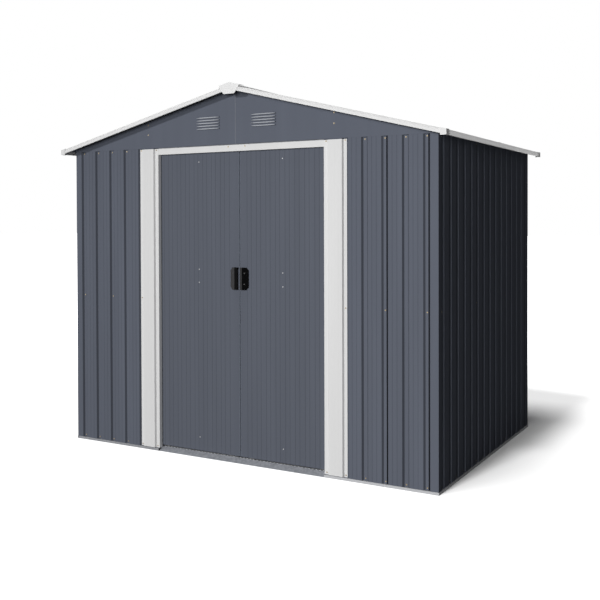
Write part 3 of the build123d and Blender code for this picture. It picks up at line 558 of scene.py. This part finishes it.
# Gliders: plain dark nylon blocks, fixed behind the doors' top and foot. Two hang each door in the
# track, and two shoes below straddle the guide rail and steady it.
nylon = speckled("nylon", (0.07, 0.07, 0.07), 0.5, contrast=0.06, patch_scale=40.0,
                 grain_scale=500.0, grain_detail=2.0, depth=0.0002, strength=0.3)
finish_nodes(nylon, "nylon", "left_door_gliders", "right_door_gliders")


# Floor: a plain pale studio floor that runs out to white, and keeps the shed's shadow. It shows
# its glow only to the camera and in reflections, and none inside the shed. To other rays it is
# dark, so that it throws little light back up at the shed.
FLOOR_SIZE, FLOOR_PALE, FLOOR_DARK = 120.0, (0.78, 0.78, 0.78), (0.09, 0.09, 0.09)
GLOW_START, GLOW_FULL, GLOW_LEAST = 1.9, 4.0, 0.05
bpy.ops.mesh.primitive_plane_add(size=FLOOR_SIZE, location=(0.0, 0.0, 0.0))
floor = bpy.context.object
floor.name = "floor"
pale, pale_tree, pale_shader = material("pale_floor", FLOOR_PALE, 1.0, specular=0.0)


def seen_rays(tree):
    """Gives 1 for the rays that show a backdrop: the camera's, mirrored ones and those let through."""
    rays = node(tree, "ShaderNodeLightPath").outputs
    seen = maths(tree, "ADD", rays["Is Camera Ray"], rays["Is Glossy Ray"])
    return maths(tree, "MINIMUM", maths(tree, "ADD", seen, rays["Is Transmission Ray"]), 1.0)


seen = seen_rays(pale_tree)
spot = node(pale_tree, "ShaderNodeTexCoord").outputs["Object"]
sides = node(pale_tree, "ShaderNodeSeparateXYZ", {"Vector": spot}).outputs
beyond_x = maths(pale_tree, "SUBTRACT", maths(pale_tree, "ABSOLUTE", sides["X"]), HALF_WIDTH)
beyond_y = maths(pale_tree, "SUBTRACT", maths(pale_tree, "ABSOLUTE", sides["Y"]), HALF_DEPTH)
outside = maths(pale_tree, "GREATER_THAN", maths(pale_tree, "MAXIMUM", beyond_x, beyond_y), 0.0)
reach = node(pale_tree, "ShaderNodeVectorMath", {0: spot}, operation="LENGTH").outputs["Value"]
fade = node(pale_tree, "ShaderNodeMapRange",
            {"Value": reach, "From Min": GLOW_START, "From Max": GLOW_FULL,
             "To Min": GLOW_LEAST, "To Max": 1.0}, interpolation_type="SMOOTHSTEP")
glow = maths(pale_tree, "MULTIPLY", maths(pale_tree, "MULTIPLY", fade.outputs["Result"], outside), seen)
pale_shader.inputs["Emission Color"].default_value = (1.0, 1.0, 1.0, 1.0)
pale_tree.links.new(glow, pale_shader.inputs["Emission Strength"])
tone = node(pale_tree, "ShaderNodeMix",
            {"Factor": seen, "A": (*FLOOR_DARK, 1.0), "B": (*FLOOR_PALE, 1.0)}, data_type="RGBA")
pale_tree.links.new(tone.outputs["Result"], pale_shader.inputs["Base Color"])
floor.data.materials.append(pale)


# Studio: white to the camera and in reflections, with low light from all round. Two lamps light
# the floor alone and keep the shed's shadow short. The door sheets, the handles, the right wall
# and the roof have one each. The others leave out the handles, and the key lamp the doors too.
AMBIENT = 0.04
world = bpy.context.scene.world or bpy.data.worlds.new("studio")
bpy.context.scene.world = world
world.use_nodes = True
sky = world.node_tree
backdrop = sky.nodes["Background"]
backdrop.inputs["Color"].default_value = (1.0, 1.0, 1.0, 1.0)
strength = maths(sky, "MULTIPLY_ADD", seen_rays(sky), 1.0 - AMBIENT, AMBIENT)
sky.links.new(strength, backdrop.inputs["Strength"])


def pieces_named(*names):
    return [frame["nodes"][name] for name in names]


def lit_pieces(name, pieces, state="INCLUDE"):
    """Lists the pieces that a lamp lights, or those that it leaves out."""
    lights = bpy.data.collections.new(name)
    for piece in pieces:
        lights.objects.link(piece)
    for member in lights.collection_objects:
        member.light_linking.link_state = state
    return lights


def hung_lamp(name, kind, place, way, lights):
    holder = bpy.data.objects.new(name, bpy.data.lights.new(name, kind))
    bpy.context.collection.objects.link(holder)
    holder.location = place
    holder.rotation_euler = way.to_track_quat("-Z", "Y").to_euler()
    holder.light_linking.receiver_collection = lights
    return holder


def soft_lamp(name, place, target, size, watts, lights):
    holder = hung_lamp(name, "AREA", place, Vector(target) - Vector(place), lights)
    holder.data.shape = "RECTANGLE"
    holder.data.size, holder.data.size_y = size
    holder.data.energy = watts
    holder.visible_camera = False


FAR_LAMP_STAND = 4.0


def far_lamp(name, way, strength, degrees, lights):
    holder = hung_lamp(name, "SUN", -FAR_LAMP_STAND * Vector(way), Vector(way), lights)
    holder.data.energy, holder.data.angle = strength, math.radians(degrees)


doors = pieces_named("left_door_sheet", "right_door_sheet")
handles = pieces_named("left_door_handle", "right_door_handle")
roof = pieces_named("left_roof", "right_roof", "front_rake_trims", "back_rake_trims", "eave_trims",
                    "eave_trim_sleeves", "ridge_end_caps")
floor_alone = lit_pieces("floor_alone", [floor])
doors_alone = lit_pieces("doors_alone", doors)
handles_alone = lit_pieces("handles_alone", handles)
right_wall_alone = lit_pieces("right_wall_alone", pieces_named("right_wall"))
roof_alone = lit_pieces("roof_alone", roof)
all_round = lit_pieces("all_round", [floor, *handles], "EXCLUDE")
all_but_doors = lit_pieces("all_but_doors", [floor, *handles, *doors], "EXCLUDE")
soft_lamp("door_lamp", (-0.8, -8.5, 1.6), (0.0, -0.7, 0.9), (3.0, 3.0), watts=285, lights=doors_alone)
soft_lamp("front_lamp", (1.4, -6.2, 1.9), (0.6, -0.7, 0.9), (2.0, 2.0), watts=168, lights=all_round)
soft_lamp("bounce_lamp", (0.0, -1.5, 0.03), (0.0, -0.9, 1.8), (3.0, 1.0), watts=10, lights=roof_alone)
soft_lamp("overhead_lamp", (-1.6, -1.0, 6.0), (0.0, 0.0, 1.6), (2.6, 3.0), watts=100, lights=all_round)
soft_lamp("back_left_lamp", (-4.5, 6.5, 3.4), (0.0, 0.7, 0.9), (3.0, 3.0), watts=480, lights=all_round)
far_lamp("key_lamp", (0.52, 0.83, -0.19), strength=1.75, degrees=6.0, lights=all_but_doors)
far_lamp("rib_lamp", (0.03, 1.0, -0.05), strength=3.0, degrees=10.0, lights=right_wall_alone)
far_lamp("high_floor_lamp", (0.077, 0.259, -1.0), strength=3.0, degrees=20.0, lights=floor_alone)
far_lamp("low_floor_lamp", (0.075, 0.664, -1.0), strength=1.9, degrees=6.0, lights=floor_alone)
far_lamp("handle_lamp", (0.95, 0.31, -0.1), strength=4.7, degrees=10.0, lights=handles_alone)


# Camera: a little over a metre up, out to the right of the front and turned back to the shed. Its
# place, its lens and the centre of its picture fit the photograph's straight edges.
FRAME_PIXELS, FOCAL_PIXELS = 600, 878.28
CENTRE_X_PIXELS, CENTRE_Y_PIXELS = 292.45, 232.70
CAMERA_PLACE = (2.4242, -4.4105, 1.2186)
TILT_DOWN, ROLL, TURN = 0.820, 0.180, 29.773
lens = bpy.data.cameras.new("camera")
lens.sensor_width = 36.0
lens.lens = FOCAL_PIXELS * lens.sensor_width / FRAME_PIXELS
lens.shift_x = (FRAME_PIXELS / 2 - CENTRE_X_PIXELS) / FRAME_PIXELS
lens.shift_y = (CENTRE_Y_PIXELS - FRAME_PIXELS / 2) / FRAME_PIXELS
camera = bpy.data.objects.new("camera", lens)
camera.location = CAMERA_PLACE
camera.rotation_euler = (math.radians(90.0 - TILT_DOWN), math.radians(ROLL), math.radians(TURN))
bpy.context.collection.objects.link(camera)
scene = bpy.context.scene
scene.camera = camera
scene.view_settings.view_transform = "Standard"
